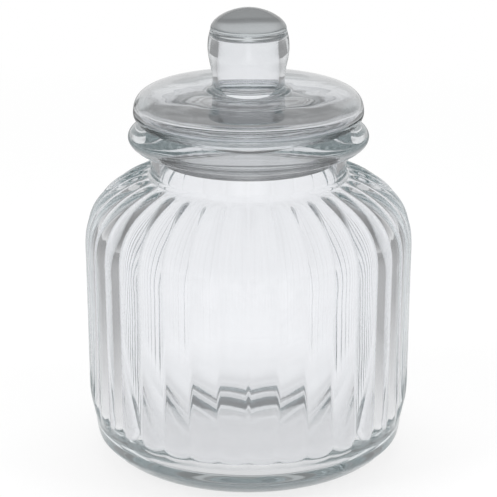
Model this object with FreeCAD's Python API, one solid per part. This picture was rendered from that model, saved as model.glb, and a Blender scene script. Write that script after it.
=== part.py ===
import FreeCAD, Part
import math
import os

# Jar foot and heel, in millimetres, with the jar standing on z = 0
foot_setback = 20.1           # ring that the jar stands on, inside the wall
foot_width = 5.0              # width of that ring
foot_level = 8.8              # how long the underside stays level outside the ring
push_up = 4.0                 # hollow under the floor, at its middle
floor_thickness = 7.0         # glass at the middle of the floor
heel_turn = 10.6              # height of the turn between underside and side
heel_setback = 3.2            # how far that turn lies inside the wall
heel_lean = 29.5              # degrees from upright at the turn
heel_round = 1.5              # how long the turn keeps that lean
heel_upright = 16.4           # how long the top of the heel stays upright
heel_height = 41.0            # top of the heel, where the wall starts

# Jar wall and shoulder, measured in the valleys between the ribs
wall_radius = 83.3            # at the top of the wall
wall_taper = 0.4              # how much the foot of the wall draws in
wall_height = 63.0
wall = 4.2                    # glass of wall and shoulder, without ribs
inner_heel_radius = 20.0      # round corner between floor and wall inside
shoulder_height = 45.8
shoulder_reach = 14.3         # how long the shoulder keeps the wall's direction
shoulder_draw = 36.7          # how long it keeps the slope at the neck
shoulder_slope = 19.3         # degrees from level where it meets the neck

# Ribs of the jar
rib_count = 36
rib_height = 1.6              # crest above valley
rib_heel_start = 10.0         # plain band above the heel's turn
rib_heel_fade = 14.4          # run-out at the heel
rib_neck_fade = 7.0           # run-out at the neck
ring_counts = (4, 3, 9)       # sections along heel, wall and shoulder

# Neck and rim of the jar
mouth_radius = 46.0           # bore of the neck
neck_wall = 4.5
neck_fillet = 3.0             # hollow corner between shoulder and neck
neck_root_round = 4.0         # rounded corner between shoulder and bore inside
neck_height = 11.4            # plain neck under the rim
rim_depth = 12.8              # height of the rim's bead
rim_overhang = 12.2           # bead outside its highest ring
rim_lip = 3.7                 # bead between its highest ring and the bore
rim_lip_drop = 5.0            # height of the rounding into the bore

# Glass lid
seat_gap = 0.3                # lid above the rim
lid_setback = 2.8             # widest ring of the lid, inside that of the rim
lid_edge_run = 4.7            # rounded edge, from the flat seat out to the widest ring
lid_edge_rise = 6.2           # widest ring above the seat
lid_edge_upright = 2.8        # how long the edge stays upright under the widest ring
lid_edge_lift = (2.6, 1.2)    # way out and up that the edge leaves the seat
lid_crown_rise = 11.1         # top of the cover above the widest ring
lid_shoulder = 15.5           # how long the cover's edge stays upright
lid_flat = 17.0               # how long the cover stays level outside the knob
lid_thickness = 4.6           # glass of the cover beside the knob
lid_edge_wall = 3.8           # glass at the widest ring
hollow_rise = 8.0             # how long the hollow's edge stays upright
flange = 4.2                  # glass over the seat
flange_round = 2.6            # corner between the flange and the edge, inside
plug_gap = 3.0                # between plug and bore, filled by the seal
plug_wall = 5.5
plug_depth = 19.0             # plug below the seat
plug_round = 2.0              # rounding of the plug's lower edge
plug_bore_edge = 2.2          # rounding from the plug's bore onto the flange

# Knob of the lid
knob_radius = 20.8            # at its widest ring
knob_waist = 2.4              # how far its root draws in
knob_root_fillet = 4.0
knob_root_upright = 7.7       # how long the root stays upright
knob_lower = 18.4             # widest ring above the root
knob_lower_upright = 7.4      # how long the side stays upright under the widest ring
knob_upper = 8.4              # crease above the widest ring
knob_upper_upright = 3.8      # how long it stays upright over that ring
knob_crease_fall = (0.6, 2.1) # way out and down that the side leaves the crease
knob_crease_setback = 1.3     # lower edge of the crease, inside the widest ring
knob_crease = 1.0             # height of the crease
knob_crease_depth = 0.6
knob_dome = 10.4              # dome above the crease
knob_dome_upright = 4.4       # how long the foot of the dome stays upright
knob_dome_flat = 9.1          # how long the dome stays level at its top
knob_dome_step = 0.2          # foot of the dome, inside the crease's lower edge
knob_bore = 15.4              # radius of the hollow inside
knob_roof = 14.6              # glass between the hollow and the top
knob_bore_round = 1.5
knob_bore_flare = 2.5         # rounding from the hollow into the cover

# Seal ring
seal_clearance = 0.1          # ring round the plug
lip_clearance = 0.3           # lips inside the bore
seal_top_gap = 0.3            # ring under the lid
seal_sleeve = 1.0             # thickness between the lips
seal_height = 18.0
seal_collar = 2.2             # thick top edge
lip_count = 3
lip_root = 1.5                # lip at the sleeve
lip_tip = 0.7                 # lip at its edge
lip_lift = 1.0                # edge of a lip above its root

# Radii and heights worked out from the sizes above
foot_radius = wall_radius - foot_setback
wall_foot = wall_radius - wall_taper
shoulder_start = heel_height + wall_height
shoulder_end = shoulder_start + shoulder_height
slope = math.radians(shoulder_slope)
neck_radius = mouth_radius + neck_wall
neck_start = shoulder_end + neck_fillet * math.cos(slope)
rim_bottom = neck_start + neck_height
rim_top = rim_bottom + rim_depth
rim_middle = rim_bottom + rim_depth / 2
rim_crown_radius = mouth_radius + rim_lip
rim_radius = rim_crown_radius + rim_overhang
lid_radius = rim_radius - lid_setback
floor_level = push_up + floor_thickness
seat = rim_top + seat_gap
lid_widest = seat + lid_edge_rise
lid_crown = lid_widest + lid_crown_rise
knob_root = lid_crown + knob_root_fillet
knob_widest = knob_root + knob_lower
crease_low = knob_widest + knob_upper
crease_high = crease_low + knob_crease
knob_top = crease_high + knob_dome
knob_root_radius = knob_radius - knob_waist
knob_crease_radius = knob_radius - knob_crease_setback
knob_dome_radius = knob_crease_radius - knob_dome_step
plug_radius = mouth_radius - plug_gap
plug_bottom = seat - plug_depth
seal_top = seat - seal_top_gap


def at(radius, height):
    return FreeCAD.Vector(radius, 0, height)


def line(start, end):
    return Part.LineSegment(start, end)


def bezier(*poles):
    curve = Part.BezierCurve()
    curve.setPoles(list(poles))
    return curve


# Round corner about a centre, from one angle to another, in degrees from level
def corner(centre, radius, start, end):
    turns = [math.radians(a) for a in (start, (start + end) / 2, end)]
    points = [centre + at(radius * math.cos(a), radius * math.sin(a)) for a in turns]
    return Part.Arc(*points)


# Quarter of an ellipse that leaves its start upright and meets its end level
def quarter(start, end):
    full = 4 / 3 * (math.sqrt(2) - 1)
    upright = at(0, (end.z - start.z) * full)
    level = at((start.x - end.x) * full, 0)
    return bezier(start, start + upright, end + level, end)


# Solid turned about the jar's axis from a closed chain of curves
def turned(curves):
    face = Part.Face(Part.Wire([c.toShape() for c in curves]))
    return face.revolve(at(0, 0), FreeCAD.Vector(0, 0, 1), 360)


# Side of the jar in the valleys: plain band, ribbed heel, wall and shoulder
def side_curves():
    turn = at(wall_radius - heel_setback, heel_turn)
    wall_bottom = at(wall_foot, heel_height)
    heel = bezier(turn, turn + heel_way(), wall_bottom - at(0, heel_upright), wall_bottom)
    start = heel.parameterAtDistance(rib_heel_start, 0)
    band = heel.copy()
    band.segment(0, start)
    heel.segment(start, 1)
    wall_top = at(wall_radius, shoulder_start)
    end = at(neck_radius + neck_fillet * (1 - math.sin(slope)), shoulder_end)
    return [band, heel, line(wall_bottom, wall_top), shoulder_curve(wall_top, end)]


# Way along the side at the heel's turn
def heel_way():
    lean = math.radians(heel_lean)
    return at(math.sin(lean), math.cos(lean)) * heel_round


def shoulder_curve(start, end):
    draw = at(math.cos(slope), -math.sin(slope)) * shoulder_draw
    return bezier(start, start + at(0, shoulder_reach), end + draw, end)


# One closed ring of ribs: an arc from valley to valley over each crest
def rib_ring(curve, u, along, total):
    tangent = curve.tangent(u)[0]
    fade = min(1, along / rib_heel_fade, (total - along) / rib_neck_fade)
    valley = curve.value(u)
    crest = valley + at(tangent.z, -tangent.x) * rib_height * math.sin(fade * math.pi / 2)
    arcs = []
    for k in range(rib_count):
        points = [about(valley, k), about(crest, k + 0.5), about(valley, k + 1)]
        arcs.append(Part.Arc(*points).toShape())
    return Part.Wire(arcs)


# A point of the side, turned round the jar by a number of ribs
def about(point, ribs):
    axis = FreeCAD.Vector(0, 0, 1)
    return FreeCAD.Rotation(axis, ribs * 360 / rib_count).multVec(point)


# Ribbed part of the jar, filled, between the plain band and the neck
def ribbed_body():
    curves = side_curves()[1:]
    total = sum(c.length() for c in curves)
    run = 0
    wires = []
    for curve, count in zip(curves, ring_counts):
        first, last = curve.FirstParameter, curve.LastParameter
        for k in range(count):
            u = first + (last - first) * k / count
            along = run + curve.length(first, u)
            wires.append(rib_ring(curve, u, along, total))
        run = run + curve.length()
    wires.append(rib_ring(curves[-1], curves[-1].LastParameter, total, total))
    return Part.makeLoft(wires, True)


# Underside of the jar and the plain band over it, filled
def jar_foot():
    band = side_curves()[0]
    turn = band.value(0)
    top = band.value(1)
    edge = at(foot_radius, 0)
    inner = foot_radius - foot_width
    dome = (inner ** 2 + push_up ** 2) / (2 * push_up)
    half = math.asin(inner / dome) / 2
    middle = at(dome * math.sin(half), push_up - dome * (1 - math.cos(half)))
    return turned([
        Part.Arc(at(0, push_up), middle, at(inner, 0)),
        line(at(inner, 0), edge),
        bezier(edge, edge + at(foot_level, 0), turn - heel_way(), turn),
        band,
        line(top, at(0, top.z)),
        line(at(0, top.z), at(0, push_up)),
    ])


# Neck with its rolled rim, filled
def jar_neck():
    start = side_curves()[3].value(1)
    crown = at(rim_crown_radius, rim_top)
    widest = at(rim_radius, rim_middle)
    under = at(neck_radius, rim_bottom)
    return turned([
        line(at(0, shoulder_end), start),
        corner(at(neck_radius + neck_fillet, neck_start), neck_fillet, 270 - shoulder_slope, 180),
        line(at(neck_radius, neck_start), under),
        quarter(widest, under),
        quarter(widest, crown),
        line(crown, at(0, rim_top)),
        line(at(0, rim_top), at(0, shoulder_end)),
    ])


# Room inside the jar, with the rounded mouth
def jar_room():
    bottom = wall_foot - wall
    top = wall_radius - wall
    outer_end = side_curves()[3].value(1)
    inset = outer_end - at(math.sin(slope), math.cos(slope)) * wall
    end_radius = mouth_radius + neck_root_round * (1 - math.sin(slope))
    end = at(end_radius, inset.z + (inset.x - end_radius) * math.tan(slope))
    bore_start = end.z + neck_root_round * math.cos(slope)
    wall_bottom = at(bottom, floor_level + inner_heel_radius)
    lip_start = at(mouth_radius, rim_top - rim_lip_drop)
    crown = at(rim_crown_radius, rim_top)
    return turned([
        line(at(0, floor_level), at(bottom - inner_heel_radius, floor_level)),
        corner(wall_bottom - at(inner_heel_radius, 0), inner_heel_radius, 270, 360),
        line(wall_bottom, at(top, shoulder_start)),
        shoulder_curve(at(top, shoulder_start), end),
        corner(at(mouth_radius + neck_root_round, bore_start), neck_root_round, 270 - shoulder_slope, 180),
        line(at(mouth_radius, bore_start), lip_start),
        quarter(lip_start, crown),
        line(crown, at(0, rim_top)),
        line(at(0, rim_top), at(0, floor_level)),
    ])


def jar_body():
    filled = jar_foot().fuse([ribbed_body(), jar_neck()]).removeSplitter()
    return filled.cut(jar_room())


# Outside of the lid, from the top of the knob to the seat
def lid_outside():
    top = at(0, knob_top)
    dome_edge = at(knob_dome_radius, crease_high)
    crease_edge = at(knob_crease_radius, crease_low)
    crease_middle = at(knob_dome_radius - knob_crease_depth, (crease_low + crease_high) / 2)
    belly = at(knob_radius, knob_widest)
    root = at(knob_root_radius, knob_root)
    fillet_centre = at(knob_root_radius + knob_root_fillet, knob_root)
    crown_edge = at(knob_root_radius + knob_root_fillet, lid_crown)
    widest = at(lid_radius, lid_widest)
    seat_edge = at(lid_radius - lid_edge_run, seat)
    edge_out, edge_up = lid_edge_lift
    crease_out, crease_down = knob_crease_fall
    crease_way = crease_edge + at(crease_out, -crease_down)
    return [
        bezier(top, at(knob_dome_flat, knob_top), dome_edge + at(0, knob_dome_upright), dome_edge),
        Part.Arc(dome_edge, crease_middle, crease_edge),
        bezier(crease_edge, crease_way, belly + at(0, knob_upper_upright), belly),
        bezier(belly, belly - at(0, knob_lower_upright), root + at(0, knob_root_upright), root),
        corner(fillet_centre, knob_root_fillet, 180, 270),
        bezier(crown_edge, crown_edge + at(lid_flat, 0), widest + at(0, lid_shoulder), widest),
        bezier(widest, widest - at(0, lid_edge_upright), seat_edge + at(edge_out, edge_up), seat_edge),
    ]


# Inside of the lid, from the plug's lower edge over the flange to the roof of the knob's hollow
def lid_inside():
    inner = plug_radius - plug_wall
    roof = knob_top - knob_roof
    under = lid_crown - lid_thickness
    floor = seat + flange
    lower_round = at(inner + plug_round, plug_bottom + plug_round)
    upper_round = at(inner + plug_bore_edge, floor - plug_bore_edge)
    hollow_edge = at(lid_radius - lid_edge_wall, floor + flange_round)
    flare_edge = at(knob_bore + knob_bore_flare, under)
    roof_round = at(knob_bore - knob_bore_round, roof - knob_bore_round)
    return [
        corner(lower_round, plug_round, 270, 180),
        line(at(inner, lower_round.z), at(inner, upper_round.z)),
        corner(upper_round, plug_bore_edge, 180, 90),
        line(at(upper_round.x, floor), at(hollow_edge.x - flange_round, floor)),
        corner(hollow_edge - at(flange_round, 0), flange_round, 270, 360),
        bezier(hollow_edge, hollow_edge + at(0, hollow_rise), flare_edge + at(lid_flat, 0), flare_edge),
        corner(flare_edge + at(0, knob_bore_flare), knob_bore_flare, 270, 180),
        line(at(knob_bore, under + knob_bore_flare), at(knob_bore, roof_round.z)),
        corner(roof_round, knob_bore_round, 0, 90),
        line(at(roof_round.x, roof), at(0, roof)),
    ]


# Lid of one piece of glass, hollow inside: cover, knob and plug
def lid():
    inner = plug_radius - plug_wall
    roof = knob_top - knob_roof
    upper_round = at(plug_radius - plug_round, plug_bottom + plug_round)
    plug = [
        line(at(lid_radius - lid_edge_run, seat), at(plug_radius, seat)),
        line(at(plug_radius, seat), at(plug_radius, upper_round.z)),
        corner(upper_round, plug_round, 360, 270),
        line(at(upper_round.x, plug_bottom), at(inner + plug_round, plug_bottom)),
    ]
    axis = line(at(0, roof), at(0, knob_top))
    return turned(lid_outside() + plug + lid_inside() + [axis])


# Soft ring round the plug: a sleeve with a thick top edge and sprung lips
def seal_ring():
    inner = plug_radius + seal_clearance
    sleeve = inner + seal_sleeve
    reach = mouth_radius - lip_clearance
    bottom = seal_top - seal_height
    step = (seal_height - seal_collar) / lip_count
    corners = [at(inner, seal_top), at(inner, bottom), at(sleeve, bottom)]
    for k in range(lip_count):
        low = bottom + step * (k + 0.5) - lip_root / 2
        corners.append(at(sleeve, low))
        corners.append(at(reach, low + lip_lift))
        corners.append(at(reach, low + lip_lift + lip_tip))
        corners.append(at(sleeve, low + lip_root))
    corners.append(at(sleeve, seal_top - seal_collar))
    corners.append(at(reach, seal_top - seal_collar))
    corners.append(at(reach, seal_top))
    sides = zip(corners, corners[1:] + corners[:1])
    return turned([line(a, b) for a, b in sides])


os.makedirs("parts", exist_ok=True)
for name, shape in (("jar_body", jar_body()), ("lid", lid()), ("seal_ring", seal_ring())):
    solid = shape.Solids[0]
    solid.exportStep("parts/" + name + ".step")
    print(name, "volume", round(solid.Volume), "valid", solid.isValid())
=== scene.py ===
import math
import bpy
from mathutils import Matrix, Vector


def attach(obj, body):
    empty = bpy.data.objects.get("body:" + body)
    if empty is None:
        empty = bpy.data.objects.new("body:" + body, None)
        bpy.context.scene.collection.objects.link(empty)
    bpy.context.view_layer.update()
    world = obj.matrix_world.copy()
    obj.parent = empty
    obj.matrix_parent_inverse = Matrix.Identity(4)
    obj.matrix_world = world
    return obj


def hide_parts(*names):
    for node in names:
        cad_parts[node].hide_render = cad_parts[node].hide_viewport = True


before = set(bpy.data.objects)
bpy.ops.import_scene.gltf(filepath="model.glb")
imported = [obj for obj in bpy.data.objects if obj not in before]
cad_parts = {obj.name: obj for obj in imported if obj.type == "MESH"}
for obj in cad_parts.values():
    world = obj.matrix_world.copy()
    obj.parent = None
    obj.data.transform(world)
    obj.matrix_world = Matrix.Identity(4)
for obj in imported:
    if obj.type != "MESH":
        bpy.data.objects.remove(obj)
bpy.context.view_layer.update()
mm = 0.001
profileMerge = 0.01 * mm  # points of a drawn profile closer than this become one
meshMerge = 0.005 * mm  # the same for points of a turned mesh
scene = bpy.context.scene
print("frame loaded:", sorted(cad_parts))


def deselectAll():
    if bpy.context.object and bpy.context.object.mode != "OBJECT":
        bpy.ops.object.mode_set(mode="OBJECT")
    bpy.ops.object.select_all(action="DESELECT")


def makeActive(obj):
    deselectAll()
    obj.select_set(True)
    bpy.context.view_layer.objects.active = obj


def pt(radius, height):  # a point of a profile, in millimetres
    return Vector((radius, 0, height))


# Strokes of a turned profile: start, its handle, the end's handle, end, rows
def straight(start, end, rows=1):
    return (start, start.lerp(end, 1 / 3), start.lerp(end, 2 / 3), end, rows)


def curve(start, startHandle, endHandle, end, rows):
    return (start, startHandle, endHandle, end, rows)


def quarter(start, end, rows):  # leaves its start upright and meets its end level
    full = 4 / 3 * (math.sqrt(2) - 1)
    rise = pt(0, (end.z - start.z) * full)
    run = pt((start.x - end.x) * full, 0)
    return (start, start + rise, end + run, end, rows)


def corner(centre, radius, startAngle, endAngle, rows):  # round corner, in degrees from level
    first, last = math.radians(startAngle), math.radians(endAngle)
    reach = radius * 4 / 3 * math.tan((last - first) / 4)
    ends = [centre + pt(math.cos(a), math.sin(a)) * radius for a in (first, last)]
    ways = [pt(-math.sin(a), math.cos(a)) * reach for a in (first, last)]
    return (ends[0], ends[0] + ways[0], ends[1] - ways[1], ends[1], rows)


def backwards(stroke):
    start, startHandle, endHandle, end, rows = stroke
    return (end, endHandle, startHandle, start, rows)


def drawProfile(name, strokes):  # half outline as Bezier splines, made a chain of edges
    deselectAll()
    bpy.ops.curve.primitive_bezier_curve_add(location=(0, 0, 0))
    obj = bpy.context.object
    obj.name = name
    obj.data.splines.remove(obj.data.splines[0])
    for start, startHandle, endHandle, end, rows in strokes:
        spline = obj.data.splines.new("BEZIER")
        spline.bezier_points.add(1)
        spline.resolution_u = rows
        first, last = spline.bezier_points
        for point in (first, last):
            point.handle_left_type = point.handle_right_type = "FREE"
        first.co, first.handle_left, first.handle_right = start * mm, start * mm, startHandle * mm
        last.co, last.handle_left, last.handle_right = end * mm, endHandle * mm, end * mm
    bpy.ops.object.convert(target="MESH")
    bpy.ops.object.mode_set(mode="EDIT")
    bpy.ops.mesh.select_all(action="SELECT")
    bpy.ops.mesh.remove_doubles(threshold=profileMerge)
    bpy.ops.object.mode_set(mode="OBJECT")
    return obj


def applyModifiers(obj):
    makeActive(obj)
    for modifier in list(obj.modifiers):
        bpy.ops.object.modifier_apply(modifier=modifier.name)


def closeMesh():  # of the active piece: seam and poles merged, faces outwards
    bpy.ops.object.mode_set(mode="EDIT")
    bpy.ops.mesh.select_all(action="SELECT")
    bpy.ops.mesh.remove_doubles(threshold=meshMerge)
    bpy.ops.mesh.normals_make_consistent(inside=False)
    bpy.ops.object.mode_set(mode="OBJECT")


def turnProfile(obj, steps):  # turned round the jar's axis and closed
    turn = obj.modifiers.new("turn", "SCREW")
    turn.axis = "Z"
    turn.angle = 2 * math.pi
    turn.steps = turn.render_steps = steps
    turn.use_merge_vertices = True
    turn.merge_threshold = meshMerge
    applyModifiers(obj)
    closeMesh()


def waveInside(obj, glass, low, high):  # slow waves of pressed glass, on the inner faces only
    group = obj.vertex_groups.new(name="waves")
    for vertex in obj.data.vertices:
        height = vertex.co.z / mm
        if low < height < high:
            fade = min(1, (height - low) / glass["waveFade"], (high - height) / glass["waveFade"])
            group.add([vertex.index], fade, "REPLACE")
    clouds = bpy.data.textures.new(obj.name + "Waves", "CLOUDS")
    clouds.noise_scale = glass["waveLength"] * mm
    clouds.noise_depth = 1
    displace = obj.modifiers.new("waves", "DISPLACE")
    displace.texture = clouds
    displace.texture_coords = "LOCAL"
    displace.vertex_group = group.name
    displace.strength = glass["waveHeight"] * mm
    displace.mid_level = 0.5
    applyModifiers(obj)
    obj.vertex_groups.clear()


def joinInside(piece, inside):  # the inner faces become part of the piece
    makeActive(piece)
    inside.select_set(True)
    bpy.ops.object.join()
    closeMesh()


def smooth(obj, degrees):
    makeActive(obj)
    bpy.ops.object.shade_smooth_by_angle(angle=math.radians(degrees))


jar = {
    "footRadius": 63.2, "footWidth": 5.0, "footLevel": 8.8, "pushUp": 4.0,
    "floorLevel": 11.0, "innerHeel": 20.0,
    "turnRadius": 80.1, "turnHeight": 10.6, "turnLean": 29.5, "turnRound": 1.5,  # low edge of the heel
    "heelUpright": 16.4, "wallFoot": 82.9, "wallFootHeight": 41.0,
    "wallTop": 83.3, "wallTopHeight": 104.0, "wall": 4.2,
    "shoulderReach": 14.3, "shoulderDraw": 36.7, "shoulderSlope": 19.3, "shoulderEnd": 149.8,
    "mouth": 46.0, "neck": 50.5, "neckFillet": 3.0, "neckRootRound": 4.0, "neckHeight": 11.4,
    "rimDepth": 12.8, "rimCrown": 49.7, "rimRadius": 61.9, "lipDrop": 5.0,
    "ribs": 36, "ribColumns": 12, "ribHeight": 1.57,
    "ribStart": 10.0, "ribHeelFade": 14.4, "ribTip": 7.0, "ribSteps": 60,
    "waveHeight": 0.35, "waveLength": 34.0, "waveFade": 12.0, "waveTop": 158.0,
    "smoothAngle": 60,
    "rows": {
        "pushUp": 10, "foot": 2, "turn": 12, "heel": 22, "wall": 10, "shoulder": 44,
        "fillet": 6, "neck": 5, "underRim": 10, "rim": 12, "lip": 8, "mouth": 4, "neckRoot": 5,
        "innerShoulder": 30, "innerWall": 6, "innerHeel": 14, "floor": 8,
    },
}


def heelTurn():  # low edge of the heel, and the way the outside runs through it
    lean = math.radians(jar["turnLean"])
    way = pt(math.sin(lean), math.cos(lean)) * jar["turnRound"]
    return pt(jar["turnRadius"], jar["turnHeight"]), way


def shoulderEnd():  # where the shoulder meets the neck's fillet
    slope = math.radians(jar["shoulderSlope"])
    return pt(jar["neck"] + jar["neckFillet"] * (1 - math.sin(slope)), jar["shoulderEnd"])


def shoulderWay():  # handle that draws the shoulder outwards from the neck
    slope = math.radians(jar["shoulderSlope"])
    return pt(math.cos(slope), -math.sin(slope)) * jar["shoulderDraw"]


def neckStart():  # height at which the neck runs upright
    return shoulderEnd().z + jar["neckFillet"] * math.cos(math.radians(jar["shoulderSlope"]))


def jarSide():  # heel, wall and shoulder outside, in the valleys
    rows = jar["rows"]
    turn, turnWay = heelTurn()
    foot = pt(jar["wallFoot"], jar["wallFootHeight"])
    top = pt(jar["wallTop"], jar["wallTopHeight"])
    end = shoulderEnd()
    return [
        curve(turn, turn + turnWay, foot - pt(0, jar["heelUpright"]), foot, rows["heel"]),
        straight(foot, top, rows["wall"]),
        curve(top, top + pt(0, jar["shoulderReach"]), end + shoulderWay(), end, rows["shoulder"]),
    ]


def jarOutside():
    rows = jar["rows"]
    turn, turnWay = heelTurn()
    edge = pt(jar["footRadius"], 0)
    inner = edge - pt(jar["footWidth"], 0)
    neckEnd = pt(jar["neck"], neckStart() + jar["neckHeight"])
    widest = pt(jar["rimRadius"], neckEnd.z + jar["rimDepth"] / 2)
    crown = pt(jar["rimCrown"], neckEnd.z + jar["rimDepth"])
    fillet = pt(jar["neck"] + jar["neckFillet"], neckStart())
    return [
        curve(pt(0, jar["pushUp"]), pt(inner.x / 3, jar["pushUp"]),
              inner + pt(-inner.x / 3, jar["pushUp"] * 2 / 3), inner, rows["pushUp"]),
        straight(inner, edge, rows["foot"]),
        curve(edge, edge + pt(jar["footLevel"], 0), turn - turnWay, turn, rows["turn"]),
    ] + jarSide() + [
        corner(fillet, jar["neckFillet"], 270 - jar["shoulderSlope"], 180, rows["fillet"]),
        straight(pt(jar["neck"], neckStart()), neckEnd, rows["neck"]),
        backwards(quarter(widest, neckEnd, rows["underRim"])),
        quarter(widest, crown, rows["rim"]),
    ]


def jarInside():
    rows = jar["rows"]
    slope = math.radians(jar["shoulderSlope"])
    inset = shoulderEnd() - pt(math.sin(slope), math.cos(slope)) * jar["wall"]
    endRadius = jar["mouth"] + jar["neckRootRound"] * (1 - math.sin(slope))
    end = pt(endRadius, inset.z + (inset.x - endRadius) * math.tan(slope))
    boreStart = end.z + jar["neckRootRound"] * math.cos(slope)
    rimTop = neckStart() + jar["neckHeight"] + jar["rimDepth"]
    lip = pt(jar["mouth"], rimTop - jar["lipDrop"])
    top = pt(jar["wallTop"] - jar["wall"], jar["wallTopHeight"])
    foot = pt(jar["wallFoot"] - jar["wall"], jar["floorLevel"] + jar["innerHeel"])
    heelCentre = foot - pt(jar["innerHeel"], 0)
    floorEdge = foot - pt(jar["innerHeel"], jar["innerHeel"])
    rootRound = pt(jar["mouth"] + jar["neckRootRound"], boreStart)
    return [
        quarter(lip, pt(jar["rimCrown"], rimTop), rows["lip"]),
        straight(pt(jar["mouth"], boreStart), lip, rows["mouth"]),
        corner(rootRound, jar["neckRootRound"], 270 - jar["shoulderSlope"], 180, rows["neckRoot"]),
        curve(top, top + pt(0, jar["shoulderReach"]), end + shoulderWay(), end, rows["innerShoulder"]),
        straight(foot, top, rows["innerWall"]),
        corner(heelCentre, jar["innerHeel"], 270, 360, rows["innerHeel"]),
        straight(pt(0, jar["floorLevel"]), floorEdge, rows["floor"]),
    ]


def alongSide():  # heights and distances along the outer side, for the ribs
    points = []
    for start, startHandle, endHandle, end, _ in jarSide():
        for step in range(jar["ribSteps"] + 1):
            t = step / jar["ribSteps"]
            s = 1 - t
            near = start * s ** 3 + startHandle * 3 * s * s * t
            points.append(near + endHandle * 3 * s * t * t + end * t ** 3)
    run = 0
    table = [(points[0].z, 0)]
    for a, b in zip(points, points[1:]):
        run += (b - a).length
        table.append((b.z, run))
    return table


def distanceAt(table, height):  # distance along the side at a height
    for (lowZ, lowRun), (highZ, highRun) in zip(table, table[1:]):
        if lowZ <= height <= highZ and highZ > lowZ:
            return lowRun + (highRun - lowRun) * (height - lowZ) / (highZ - lowZ)
    return table[-1][1]


def raiseRibs(obj):  # convex ribs between creases, blunt at the neck, run out at the heel
    table = alongSide()
    total = table[-1][1]
    group = obj.vertex_groups.new(name="ribs")
    pitch = 2 * math.pi / jar["ribs"]
    known = {}  # one look-up for each row of points
    for vertex in obj.data.vertices:
        height = vertex.co.z / mm
        if not jar["turnHeight"] < height < jar["shoulderEnd"] or vertex.co.xy.length < jar["neck"] * mm:
            continue
        key = round(height, 3)
        if key not in known:
            known[key] = distanceAt(table, height)
        along = known[key]
        turns = math.atan2(vertex.co.y, vertex.co.x) / pitch
        across = 2 * abs(turns - math.floor(turns) - 0.5)  # 0 on the ridge, 1 in the crease
        fade = math.sin(math.pi / 2 * min(1, max(0, (along - jar["ribStart"]) / jar["ribHeelFade"])))
        tip = max(0, 1 - (total - along) / jar["ribTip"])
        weight = fade * max(0, 1 - across ** 2 - tip ** 2)
        if weight > 0:
            group.add([vertex.index], weight, "REPLACE")
    displace = obj.modifiers.new("ribs", "DISPLACE")
    displace.vertex_group = group.name
    displace.strength = jar["ribHeight"] * mm
    displace.mid_level = 0
    applyModifiers(obj)
    obj.vertex_groups.clear()


jarColumns = jar["ribs"] * jar["ribColumns"]
jarPiece = drawProfile("jarGlass", jarOutside())
turnProfile(jarPiece, jarColumns)
raiseRibs(jarPiece)
roomPiece = drawProfile("jarRoom", jarInside())
turnProfile(roomPiece, jarColumns)
waveInside(roomPiece, jar, 0, jar["waveTop"])
joinInside(jarPiece, roomPiece)
smooth(jarPiece, jar["smoothAngle"])
print("jar turned and ribbed:", len(jarPiece.data.polygons), "faces")

lid = {
    "seat": 177.13, "radius": 59.1, "edgeRun": 4.7, "edgeRise": 6.2, "edgeUpright": 2.8,
    "edgeOut": 2.6, "edgeUp": 1.2, "crownRise": 11.1,
    "shoulder": 15.5, "flat": 17.0, "thickness": 4.6, "edgeWall": 3.8, "hollowRise": 8.0,
    "flange": 4.2, "flangeRound": 2.6, "boreEdge": 2.2,
    "plug": 43.0, "plugWall": 5.5, "plugDepth": 19.0, "plugRound": 2.0,
    "knob": 20.8, "waist": 2.4, "rootFillet": 4.0, "rootUpright": 7.7, "lower": 18.4, "lowerUpright": 7.4,
    "upper": 8.4, "upperUpright": 3.8, "creaseSetback": 1.3, "crease": 1.0, "creaseDepth": 0.6,
    "creaseDraw": 0.8, "creaseUpright": 0.2, "creaseOut": 0.6, "creaseDown": 2.1,
    "dome": 10.4, "domeStep": 0.2, "domeUpright": 4.4, "domeFlat": 9.1,
    "bore": 15.4, "roof": 14.6, "boreRound": 1.5, "boreFlare": 2.5,
    "waveHeight": 0.4, "waveLength": 26.0, "waveFade": 6.0, "waveLow": 164.0, "waveTop": 240.0,
    "columns": 216, "smoothAngle": 50,
    "rows": {
        "dome": 22, "crease": 3, "upper": 9, "lower": 14, "root": 9, "cover": 44, "edge": 12, "seat": 6,
        "plug": 6, "plugRound": 6, "plugFace": 2, "boreEdge": 6, "flange": 5, "flangeRound": 6,
        "hollow": 34, "flare": 12, "bore": 8, "boreRound": 6, "roof": 4,
    },
}


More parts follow.
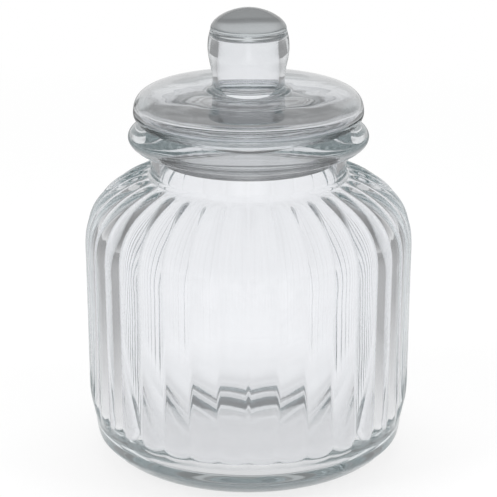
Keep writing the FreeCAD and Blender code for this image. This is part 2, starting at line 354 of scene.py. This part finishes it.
def lidProfile():  # outside down to the plug's lower edge, and inside up to the knob's roof
    rows = lid["rows"]
    seat = lid["seat"]
    widest = pt(lid["radius"], seat + lid["edgeRise"])
    crown = widest.z + lid["crownRise"]
    root = pt(lid["knob"] - lid["waist"], crown + lid["rootFillet"])
    belly = pt(lid["knob"], root.z + lid["lower"])
    creaseLow = pt(lid["knob"] - lid["creaseSetback"], belly.z + lid["upper"])
    creaseHigh = creaseLow + pt(-lid["domeStep"], lid["crease"])
    creaseIn = creaseHigh - pt(lid["creaseDepth"], lid["crease"] / 2)
    creaseTurn = pt(0, lid["creaseUpright"])
    creaseWay = pt(lid["creaseOut"], -lid["creaseDown"])
    intoHigh = creaseHigh.lerp(creaseIn, lid["creaseDraw"])
    intoLow = creaseLow.lerp(creaseIn, lid["creaseDraw"])
    top = pt(0, creaseHigh.z + lid["dome"])
    domeFlat = pt(lid["domeFlat"], top.z)
    bellyDown = belly - pt(0, lid["lowerUpright"])
    coverFlat = pt(lid["flat"], 0)
    crownEdge = pt(root.x + lid["rootFillet"], crown)
    seatEdge = pt(lid["radius"] - lid["edgeRun"], seat)
    edgeWay = pt(lid["edgeOut"], lid["edgeUp"])
    plugTop = pt(lid["plug"], seat)
    low = seat - lid["plugDepth"]
    rounding = lid["plugRound"]
    inner = lid["plug"] - lid["plugWall"]
    under = crown - lid["thickness"]
    roof = top.z - lid["roof"]
    flare = pt(lid["bore"] + lid["boreFlare"], under)
    floorTop = seat + lid["flange"]
    boreEdge = pt(inner + lid["boreEdge"], floorTop - lid["boreEdge"])
    hollow = pt(lid["radius"] - lid["edgeWall"], floorTop + lid["flangeRound"])
    roofRound = pt(lid["bore"] - lid["boreRound"], roof - lid["boreRound"])
    outside = [
        curve(top, domeFlat, creaseHigh + pt(0, lid["domeUpright"]), creaseHigh, rows["dome"]),
        curve(creaseHigh, intoHigh, creaseIn + creaseTurn, creaseIn, rows["crease"]),
        curve(creaseIn, creaseIn - creaseTurn, intoLow, creaseLow, rows["crease"]),
        curve(creaseLow, creaseLow + creaseWay, belly + pt(0, lid["upperUpright"]), belly, rows["upper"]),
        curve(belly, bellyDown, root + pt(0, lid["rootUpright"]), root, rows["lower"]),
        corner(root + pt(lid["rootFillet"], 0), lid["rootFillet"], 180, 270, rows["root"]),
        curve(crownEdge, crownEdge + coverFlat, widest + pt(0, lid["shoulder"]), widest, rows["cover"]),
        curve(widest, widest - pt(0, lid["edgeUpright"]), seatEdge + edgeWay, seatEdge, rows["edge"]),
        straight(seatEdge, plugTop, rows["seat"]),
        straight(plugTop, pt(lid["plug"], low + rounding), rows["plug"]),
        corner(pt(lid["plug"] - rounding, low + rounding), rounding, 360, 270, rows["plugRound"]),
        straight(pt(lid["plug"] - rounding, low), pt(inner + rounding, low), rows["plugFace"]),
    ]
    inside = [
        corner(pt(inner + rounding, low + rounding), rounding, 270, 180, rows["plugRound"]),
        straight(pt(inner, low + rounding), pt(inner, boreEdge.z), rows["plug"]),
        corner(boreEdge, lid["boreEdge"], 180, 90, rows["boreEdge"]),
        straight(pt(boreEdge.x, floorTop), pt(hollow.x - lid["flangeRound"], floorTop), rows["flange"]),
        corner(hollow - pt(lid["flangeRound"], 0), lid["flangeRound"], 270, 360, rows["flangeRound"]),
        curve(hollow, hollow + pt(0, lid["hollowRise"]), flare + coverFlat, flare, rows["hollow"]),
        corner(flare + pt(0, lid["boreFlare"]), lid["boreFlare"], 270, 180, rows["flare"]),
        straight(pt(lid["bore"], under + lid["boreFlare"]), pt(lid["bore"], roofRound.z), rows["bore"]),
        corner(roofRound, lid["boreRound"], 0, 90, rows["boreRound"]),
        straight(pt(roofRound.x, roof), pt(0, roof), rows["roof"]),
    ]
    return outside, inside


lidOutside, lidInside = lidProfile()
lidPiece = drawProfile("lidGlass", lidOutside)
turnProfile(lidPiece, lid["columns"])
hollowPiece = drawProfile("lidHollow", lidInside)
turnProfile(hollowPiece, lid["columns"])
waveInside(hollowPiece, lid, lid["waveLow"], lid["waveTop"])
joinInside(lidPiece, hollowPiece)
smooth(lidPiece, lid["smoothAngle"])
print("lid turned:", len(lidPiece.data.polygons), "faces")

seal = {
    "top": 176.83, "inner": 43.1, "sleeve": 44.1, "reach": 45.7, "height": 18.0, "collar": 2.2,
    "lips": 3, "lipRoot": 1.5, "lipTip": 0.7, "lipLift": 1.0,
    "edge": 0.22, "edgeSegments": 2, "edgeAngle": 20, "columns": 180, "smoothAngle": 35,
}


def sealProfile():  # a sleeve with a collar on top and lips that lean upwards
    bottom = seal["top"] - seal["height"]
    step = (seal["height"] - seal["collar"]) / seal["lips"]
    corners = [pt(seal["inner"], seal["top"]), pt(seal["inner"], bottom), pt(seal["sleeve"], bottom)]
    for lip in range(seal["lips"]):
        low = bottom + step * (lip + 0.5) - seal["lipRoot"] / 2
        tip = low + seal["lipLift"]
        corners += [pt(seal["sleeve"], low), pt(seal["reach"], tip)]
        corners += [pt(seal["reach"], tip + seal["lipTip"]), pt(seal["sleeve"], low + seal["lipRoot"])]
    under = seal["top"] - seal["collar"]
    corners += [pt(seal["sleeve"], under), pt(seal["reach"], under), pt(seal["reach"], seal["top"])]
    return [straight(a, b) for a, b in zip(corners, corners[1:] + corners[:1])]


sealPiece = drawProfile("sealRing", sealProfile())
turnProfile(sealPiece, seal["columns"])
bevel = sealPiece.modifiers.new("softEdges", "BEVEL")
bevel.width = seal["edge"] * mm
bevel.segments = seal["edgeSegments"]
bevel.angle_limit = math.radians(seal["edgeAngle"])
applyModifiers(sealPiece)
smooth(sealPiece, seal["smoothAngle"])
print("seal turned:", len(sealPiece.data.polygons), "faces")


def newMaterial(name):
    material = bpy.data.materials.new(name)
    material.use_nodes = True
    tree = material.node_tree
    tree.nodes.clear()
    output = tree.nodes.new("ShaderNodeOutputMaterial")
    shader = tree.nodes.new("ShaderNodeBsdfPrincipled")
    tree.links.new(shader.outputs["BSDF"], output.inputs["Surface"])
    return material, tree, shader, output


def feed(tree, socket, value):  # links another node's socket, or sets a plain value
    if isinstance(value, bpy.types.NodeSocket):
        tree.links.new(value, socket)
    else:
        socket.default_value = value


def mathNode(tree, operation, *values):
    node = tree.nodes.new("ShaderNodeMath")
    node.operation = operation
    for socket, value in zip(node.inputs, values):
        feed(tree, socket, value)
    return node.outputs[0]


def rangeNode(tree, value, source, target=(0, 1)):
    node = tree.nodes.new("ShaderNodeMapRange")
    for socket, entry in zip(node.inputs, (value, *source, *target)):
        feed(tree, socket, entry)
    return node.outputs[0]


def noiseNode(tree, place, scale, detail):
    node = tree.nodes.new("ShaderNodeTexNoise")
    node.inputs["Scale"].default_value = scale
    node.inputs["Detail"].default_value = detail
    tree.links.new(place, node.inputs["Vector"])
    return node.outputs["Fac"]


surface = {
    "streakStretch": (1, 1, 0.3), "streakScale": 90, "streakDetail": 3,  # streaks run up the piece
    "smearScale": 22, "smearDetail": 5, "smearRange": (0.56, 0.72),  # handling marks lie in patches
    "rippleScale": 55, "rippleDetail": 1,
}


def buildFinish():  # shared finish: faint streaks in the colour, handling marks, slow ripples
    group = bpy.data.node_groups.new("handledFinish", "ShaderNodeTree")
    for name, kind in (("Colour", "Color"), ("Streaks", "Float"), ("Polish", "Float"), ("Marks", "Float")):
        group.interface.new_socket(name, in_out="INPUT", socket_type="NodeSocket" + kind)
    for name, kind in (("Colour", "Color"), ("Roughness", "Float"), ("Height", "Float")):
        group.interface.new_socket(name, in_out="OUTPUT", socket_type="NodeSocket" + kind)
    entry = group.nodes.new("NodeGroupInput")
    leave = group.nodes.new("NodeGroupOutput")
    coords = group.nodes.new("ShaderNodeTexCoord")
    place = coords.outputs["Object"]
    stretch = group.nodes.new("ShaderNodeMapping")
    stretch.inputs["Scale"].default_value = surface["streakStretch"]
    group.links.new(place, stretch.inputs["Vector"])
    streaks = noiseNode(group, stretch.outputs["Vector"], surface["streakScale"], surface["streakDetail"])
    shade = mathNode(group, "SUBTRACT", 1, mathNode(group, "MULTIPLY", streaks, entry.outputs["Streaks"]))
    tint = group.nodes.new("ShaderNodeVectorMath")
    tint.operation = "SCALE"
    group.links.new(entry.outputs["Colour"], tint.inputs[0])
    group.links.new(shade, tint.inputs["Scale"])
    group.links.new(tint.outputs[0], leave.inputs["Colour"])
    smears = noiseNode(group, place, surface["smearScale"], surface["smearDetail"])
    patches = rangeNode(group, smears, surface["smearRange"])
    rough = mathNode(group, "MULTIPLY_ADD", patches, entry.outputs["Marks"], entry.outputs["Polish"])
    group.links.new(rough, leave.inputs["Roughness"])
    ripples = noiseNode(group, place, surface["rippleScale"], surface["rippleDetail"])
    group.links.new(ripples, leave.inputs["Height"])
    return group


finish = buildFinish()


def finishSurface(tree, shader, look):  # places the shared finish with a piece's own values
    node = tree.nodes.new("ShaderNodeGroup")
    node.node_tree = finish
    node.inputs["Colour"].default_value = (*look["colour"], 1)
    for name in ("Streaks", "Polish", "Marks"):
        node.inputs[name].default_value = look[name.lower()]
    bump = tree.nodes.new("ShaderNodeBump")
    bump.inputs["Strength"].default_value = look["ripple"]
    bump.inputs["Distance"].default_value = look["rippleDepth"] * mm
    tree.links.new(node.outputs["Colour"], shader.inputs["Base Color"])
    tree.links.new(node.outputs["Roughness"], shader.inputs["Roughness"])
    tree.links.new(node.outputs["Height"], bump.inputs["Height"])
    tree.links.new(bump.outputs["Normal"], shader.inputs["Normal"])


jarLook = {
    "colour": (0.965, 0.97, 0.985), "streaks": 0.03, "polish": 0.0, "marks": 0.02,
    "ripple": 0.35, "rippleDepth": 0.25, "ior": 1.52,
    "depthColour": (0.3, 0.47, 0.49), "depthDensity": 2.2,
}
lidLook = dict(
    jarLook, ripple=0.5,
    depthColour=(0.38, 0.46, 0.47), depthDensity=13.0,  # greyer in its depth
)
sealLook = {
    "colour": (0.95, 0.95, 0.94), "streaks": 0.1, "polish": 0.14, "marks": 0.12,
    "ripple": 0.5, "rippleDepth": 0.3, "ior": 1.41, "clearness": 0.9,
}


def glassMaterial(name, look):
    material, tree, shader, output = newMaterial(name)
    finishSurface(tree, shader, look)
    shader.inputs["Transmission Weight"].default_value = 1
    shader.inputs["IOR"].default_value = look["ior"]
    depth = tree.nodes.new("ShaderNodeVolumeAbsorption")
    depth.inputs["Color"].default_value = (*look["depthColour"], 1)
    depth.inputs["Density"].default_value = look["depthDensity"]
    tree.links.new(depth.outputs["Volume"], output.inputs["Volume"])
    return material


def softMaterial(name, look):  # clear soft rubber, satin
    material, tree, shader, _ = newMaterial(name)
    finishSurface(tree, shader, look)
    shader.inputs["Transmission Weight"].default_value = look["clearness"]
    shader.inputs["IOR"].default_value = look["ior"]
    return material


def dress(piece, material, node, body):  # gives a piece its look and its place in the frame
    piece.data.materials.clear()
    piece.data.materials.append(material)
    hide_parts(node)
    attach(piece, body)


dress(jarPiece, glassMaterial("jarGlass", jarLook), "jar_body", "jar")
dress(lidPiece, glassMaterial("lidGlass", lidLook), "lid", "lid")
dress(sealPiece, softMaterial("sealRubber", sealLook), "seal_ring", "seal")
print("materials set")

# The floor and the sky are dimmer to rays that the glass has mirrored, which gives it grey edges
stage = {
    "floorSize": 6.0, "floorLevel": -0.0002, "floorColour": (0.92, 0.92, 0.92), "floorRoughness": 0.9,
    "floorGlow": 0.8, "glowReach": (0.25, 0.9),  # less glow near the jar, where the shadow falls
    "floorDepth": (-0.4, 0.5), "mirroredFloor": (0.9, 0.95),  # mirrored level from front to back
    "floorWidth": (0.1, 0.26), "floorSides": 0.36,  # mirrored level out to the sides
    "mirroredDeep": (4, 11),  # times mirrored over which the sides grow light again
    "backSky": ((0.0, 1.0), (0.1, 0.86), (0.28, 0.7), (0.35, 0.4), (0.42, 0.34), (0.5, 0.45), (1.0, 0.5)),
    "sideSky": ((0.0, 0.9), (0.05, 0.7), (0.15, 0.5), (0.25, 0.38), (0.6, 0.36), (0.8, 0.4), (1.0, 0.5)),
    "backWidth": (0.3, 0.85), "mirroredSide": 0.65,  # from side sky to back sky
    "mirrorLevels": ((1, 0.9), (2, 0.75), (4, 0.7), (8, 1.2)),  # times mirrored, and the sky's level
    "softboxes": {
        "softLeft": {"place": (-0.9, -0.5, 0.9), "aim": (0, 0, 0.12), "size": (0.5, 0.9), "power": 8},
        "softRight": {"place": (0.9, -0.3, 0.8), "aim": (0, 0, 0.12), "size": (0.5, 0.9), "power": 6},
        "softTop": {"place": (0, 0.3, 1.3), "aim": (0, 0, 0.1), "size": (0.9, 0.6), "power": 8},
    },
    "bounces": 64,
}


def seenBy(tree, rays):  # 1 to camera, glass and gloss rays
    clear = mathNode(tree, "MAXIMUM", rays["Is Camera Ray"], rays["Is Transmission Ray"])
    return mathNode(tree, "MAXIMUM", clear, rays["Is Glossy Ray"])


def levelFor(tree, rays, mirrored):  # full until the glass mirrors a ray, then the mirrored level
    straightOn = mathNode(tree, "LESS_THAN", rays["Glossy Depth"], 0.5)
    return mathNode(tree, "MAXIMUM", straightOn, mirrored)


def floorMaterial():
    material, tree, shader, output = newMaterial("paleFloor")
    shader.inputs["Base Color"].default_value = (*stage["floorColour"], 1)
    shader.inputs["Roughness"].default_value = stage["floorRoughness"]
    rays = tree.nodes.new("ShaderNodeLightPath").outputs
    place = tree.nodes.new("ShaderNodeTexCoord").outputs["Object"]
    apart = tree.nodes.new("ShaderNodeSeparateXYZ")
    tree.links.new(place, apart.inputs[0])
    behind = rangeNode(tree, apart.outputs["Y"], stage["floorDepth"], stage["mirroredFloor"])
    aside = mathNode(tree, "ABSOLUTE", apart.outputs["X"])
    dimmer = rangeNode(tree, aside, stage["floorWidth"], (1, stage["floorSides"]))
    deep = rangeNode(tree, rays["Glossy Depth"], stage["mirroredDeep"])
    mirrored = mathNode(tree, "MULTIPLY", behind, mathNode(tree, "MAXIMUM", dimmer, deep))
    glow = tree.nodes.new("ShaderNodeEmission")
    tree.links.new(levelFor(tree, rays, mirrored), glow.inputs["Strength"])
    away = tree.nodes.new("ShaderNodeVectorMath")
    away.operation = "LENGTH"
    tree.links.new(place, away.inputs[0])
    share = rangeNode(tree, away.outputs["Value"], stage["glowReach"], (stage["floorGlow"], 1))
    mix = tree.nodes.new("ShaderNodeMixShader")
    tree.links.new(mathNode(tree, "MULTIPLY", seenBy(tree, rays), share), mix.inputs["Fac"])
    tree.links.new(shader.outputs["BSDF"], mix.inputs[1])
    tree.links.new(glow.outputs["Emission"], mix.inputs[2])
    tree.links.new(mix.outputs["Shader"], output.inputs["Surface"])
    return material


deselectAll()
bpy.ops.mesh.primitive_plane_add(size=stage["floorSize"], location=(0, 0, stage["floorLevel"]))
floor = bpy.context.object
floor.name = "floor"
floor.data.materials.append(floorMaterial())


def greyRamp(tree, place, stops):
    ramp = tree.nodes.new("ShaderNodeValToRGB")
    tree.links.new(place, ramp.inputs["Fac"])
    while len(ramp.color_ramp.elements) < len(stops):
        ramp.color_ramp.elements.new(1)
    for element, (position, grey) in zip(ramp.color_ramp.elements, stops):
        element.position = position
        element.color = (grey, grey, grey, 1)
    return ramp.outputs["Color"]


def mixColours(tree, share, first, second):  # inputs 6 and 7 and output 2 are the node's colours
    node = tree.nodes.new("ShaderNodeMix")
    node.data_type = "RGBA"
    for index, value in ((0, share), (6, first), (7, second)):
        feed(tree, node.inputs[index], value)
    return node.outputs[2]


def studioWorld():
    world = bpy.data.worlds.new("studio")
    world.use_nodes = True
    tree = world.node_tree
    tree.nodes.clear()
    output = tree.nodes.new("ShaderNodeOutputWorld")
    back = tree.nodes.new("ShaderNodeBackground")
    rays = tree.nodes.new("ShaderNodeLightPath").outputs
    coords = tree.nodes.new("ShaderNodeTexCoord")
    way = tree.nodes.new("ShaderNodeSeparateXYZ")
    tree.links.new(coords.outputs["Generated"], way.inputs[0])
    behind = rangeNode(tree, way.outputs["Y"], stage["backWidth"])
    sideSky = greyRamp(tree, way.outputs["Z"], stage["sideSky"])
    backSky = greyRamp(tree, way.outputs["Z"], stage["backSky"])
    sky = mixColours(tree, behind, sideSky, backSky)
    most = stage["mirrorLevels"][-1][0]
    times = mathNode(tree, "DIVIDE", rays["Glossy Depth"], most)
    levels = greyRamp(tree, times, [(count / most, grey) for count, grey in stage["mirrorLevels"]])
    aside = rangeNode(tree, behind, (0, 1), (stage["mirroredSide"], 1))
    mirrored = mathNode(tree, "MULTIPLY", levels, aside)
    tree.links.new(levelFor(tree, rays, mirrored), back.inputs["Strength"])
    seen = mixColours(tree, rays["Is Camera Ray"], sky, (1, 1, 1, 1))  # plain white behind the jar
    tree.links.new(seen, back.inputs["Color"])
    tree.links.new(back.outputs["Background"], output.inputs["Surface"])
    return world


def standAt(name, data, place, aim):  # a lamp or camera at its place, turned to its aim
    obj = bpy.data.objects.new(name, data)
    scene.collection.objects.link(obj)
    obj.location = place
    obj.rotation_euler = (Vector(aim) - Vector(place)).to_track_quat("-Z", "Y").to_euler()
    return obj


def softbox(name, place, aim, size, power):
    light = bpy.data.lights.new(name, "AREA")
    light.shape = "RECTANGLE"
    light.size, light.size_y = size
    light.energy = power
    obj = standAt(name, light, place, aim)
    obj.visible_glossy = obj.visible_transmission = False


scene.world = studioWorld()
for name, box in stage["softboxes"].items():
    softbox(name, **box)

view = {"place": (0, -1.0, 0.4416), "aim": (0, 0, 0.1088), "lens": 145.9, "sensor": 36}
cameraData = bpy.data.cameras.new("photoView")
cameraData.lens = view["lens"]
cameraData.sensor_width = view["sensor"]
scene.camera = standAt("photoView", cameraData, view["place"], view["aim"])
scene.view_settings.view_transform = "Standard"
scene.cycles.max_bounces = stage["bounces"]
scene.cycles.transmission_bounces = stage["bounces"]
scene.cycles.glossy_bounces = stage["bounces"]
print("stage ready")
